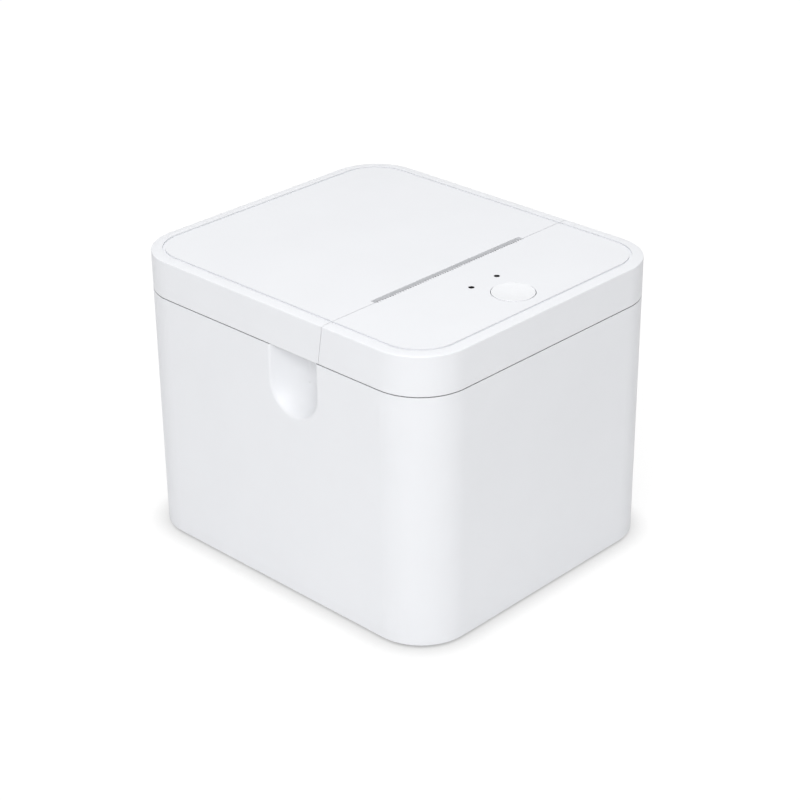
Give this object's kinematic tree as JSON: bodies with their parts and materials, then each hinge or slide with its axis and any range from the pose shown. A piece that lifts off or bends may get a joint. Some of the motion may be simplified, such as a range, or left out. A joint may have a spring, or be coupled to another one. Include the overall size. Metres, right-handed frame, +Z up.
{
  "type": "thermal label printer",
  "caption": "Compact desktop thermal label printer: rounded white housing, hinged rear cover with paper slot, platen, print head, gear train and media bay inside.",
  "frame": {"origin": "middle of the footprint, on the surface that the rubber feet stand on", "axes": "+X to the right seen from the front, the front faces -Y, +Z up"},
  "size_m": [0.137, 0.157, 0.1212],
  "materials": {
    "white_shell": "fine satin texture, moulded ABS",
    "white_button": "satin smooth moulded ABS",
    "pale_base": "fine texture",
    "foot_rubber": "matte rubber",
    "grey_bay": "fine texture, moulded ABS",
    "grey_guide": "fine texture, moulded acetal",
    "zinc_steel": "zinc plated sheet steel",
    "screw_steel": "plated steel",
    "shaft_steel": "ground steel",
    "spring_steel": "drawn spring wire",
    "motor_black": "black painted steel can",
    "gear_plastic": "natural acetal",
    "pinion_brass": "cut brass",
    "platen_rubber": "ground silicone rubber",
    "head_ceramic": "glazed ceramic with a dark glaze line",
    "sink_aluminium": "extruded aluminium",
    "ribbon_film": "flat flexible cable film",
    "board_green": "green solder mask",
    "black_plastic": "moulded black plastic",
    "port_metal": "plated shell with a black tongue",
    "lamp_glass": "clear light guide"
  },
  "bodies": {
    "base": {"lower_housing": "white_shell", "front_cover": "white_shell", "base_plate": "pale_base", "rubber_feet": "foot_rubber", "base_screws": "screw_steel", "media_bay": "grey_bay", "bay_screws": "screw_steel", "side_frames": "zinc_steel", "frame_screws": "screw_steel", "tear_bar": "white_shell", "drive_motor": "motor_black", "motor_screws": "screw_steel", "gear_studs": "shaft_steel", "head_pivot_pin": "shaft_steel", "head_springs": "spring_steel", "head_ribbon": "ribbon_film", "panel_ribbon": "ribbon_film", "main_board": "board_green", "board_parts": "black_plastic", "dc_jack": "black_plastic", "usb_port": "port_metal", "power_switch": "black_plastic", "button_board": "board_green", "board_screws": "screw_steel", "tact_switch": "black_plastic", "lamps": "lamp_glass", "lamp_windows": "lamp_glass", "lamp_sleeves": "black_plastic", "gap_sensor": "black_plastic", "cover_sensor": "black_plastic", "hinge_pins": "shaft_steel"},
    "rear_cover": {"rear_cover": "white_shell", "platen_bracket": "zinc_steel", "platen_bushes": "gear_plastic", "bracket_screws": "screw_steel"},
    "platen": {"platen_roller": "platen_rubber", "platen_shaft": "shaft_steel", "platen_gear": "gear_plastic"},
    "idler_gear": {"idler_gear": "gear_plastic"},
    "reduction_gear": {"reduction_gear": "gear_plastic"},
    "motor_rotor": {"motor_shaft": "shaft_steel", "motor_pinion": "pinion_brass"},
    "print_head": {"print_head": "head_ceramic", "head_heatsink": "sink_aluminium"},
    "feed_button": {"feed_button": "white_button", "switch_plunger": "black_plastic"},
    "power_rocker": {"power_rocker": "black_plastic"},
    "guide_left": {"guide_left": "grey_guide"},
    "guide_right": {"guide_right": "grey_guide"},
    "guide_pinion": {"guide_pinion": "gear_plastic"}
  },
  "joints": [
    {"name": "rear_cover_hinge", "type": "hinge", "parent": "base", "child": "rear_cover", "pos_m": [0, 0.0735, 0.11], "axis": [-1, 0, 0], "range_deg": [0, 90]},
    {"name": "platen_spin", "type": "hinge", "parent": "rear_cover", "child": "platen", "pos_m": [0, -0.0217, 0.109], "axis": [1, 0, 0], "continuous": true},
    {"name": "idler_spin", "type": "hinge", "parent": "base", "child": "idler_gear", "pos_m": [0.0492, -0.0217, 0.0926], "axis": [1, 0, 0], "continuous": true},
    {"name": "reduction_spin", "type": "hinge", "parent": "base", "child": "reduction_gear", "pos_m": [0.0492, -0.0277, 0.07605], "axis": [1, 0, 0], "continuous": true},
    {"name": "motor_spin", "type": "hinge", "parent": "base", "child": "motor_rotor", "pos_m": [0.0492, -0.0402, 0.05943], "axis": [1, 0, 0], "continuous": true},
    {"name": "print_head_pivot", "type": "hinge", "parent": "base", "child": "print_head", "pos_m": [0, -0.03385, 0.0925], "axis": [1, 0, 0], "range_deg": [0, 2.5], "stiffness_Nm_per_rad": 1, "deforming": ["head_springs", "head_ribbon"]},
    {"name": "feed_button_slide", "type": "slide", "parent": "base", "child": "feed_button", "axis": [0, 0, -1], "range_m": [0, 0.0006], "stiffness_N_per_m": 300},
    {"name": "power_rocker_tip", "type": "hinge", "parent": "base", "child": "power_rocker", "pos_m": [-0.026, 0.0751, 0.019], "axis": [0, 0, -1], "range_deg": [0, 14]},
    {"name": "guide_left_slide", "type": "slide", "parent": "base", "child": "guide_left", "axis": [1, 0, 0], "range_m": [0, 0.027]},
    {"name": "guide_right_slide", "type": "slide", "parent": "base", "child": "guide_right", "axis": [1, 0, 0], "range_m": [-0.027, 0]},
    {"name": "guide_pinion_spin", "type": "hinge", "parent": "base", "child": "guide_pinion", "pos_m": [0, 0.024, 0.0124], "axis": [0, 0, 1], "range_deg": [0, 194]}
  ],
  "couplings": [
    {"joint": "idler_spin", "follows": "platen_spin", "ratio": -0.70833},
    {"joint": "reduction_spin", "follows": "platen_spin", "ratio": 0.85},
    {"joint": "motor_spin", "follows": "platen_spin", "ratio": -2.3071},
    {"joint": "guide_right_slide", "follows": "guide_left_slide", "ratio": -1},
    {"joint": "guide_pinion_spin", "follows": "guide_left_slide", "rad_per_m": 125}
  ]
}
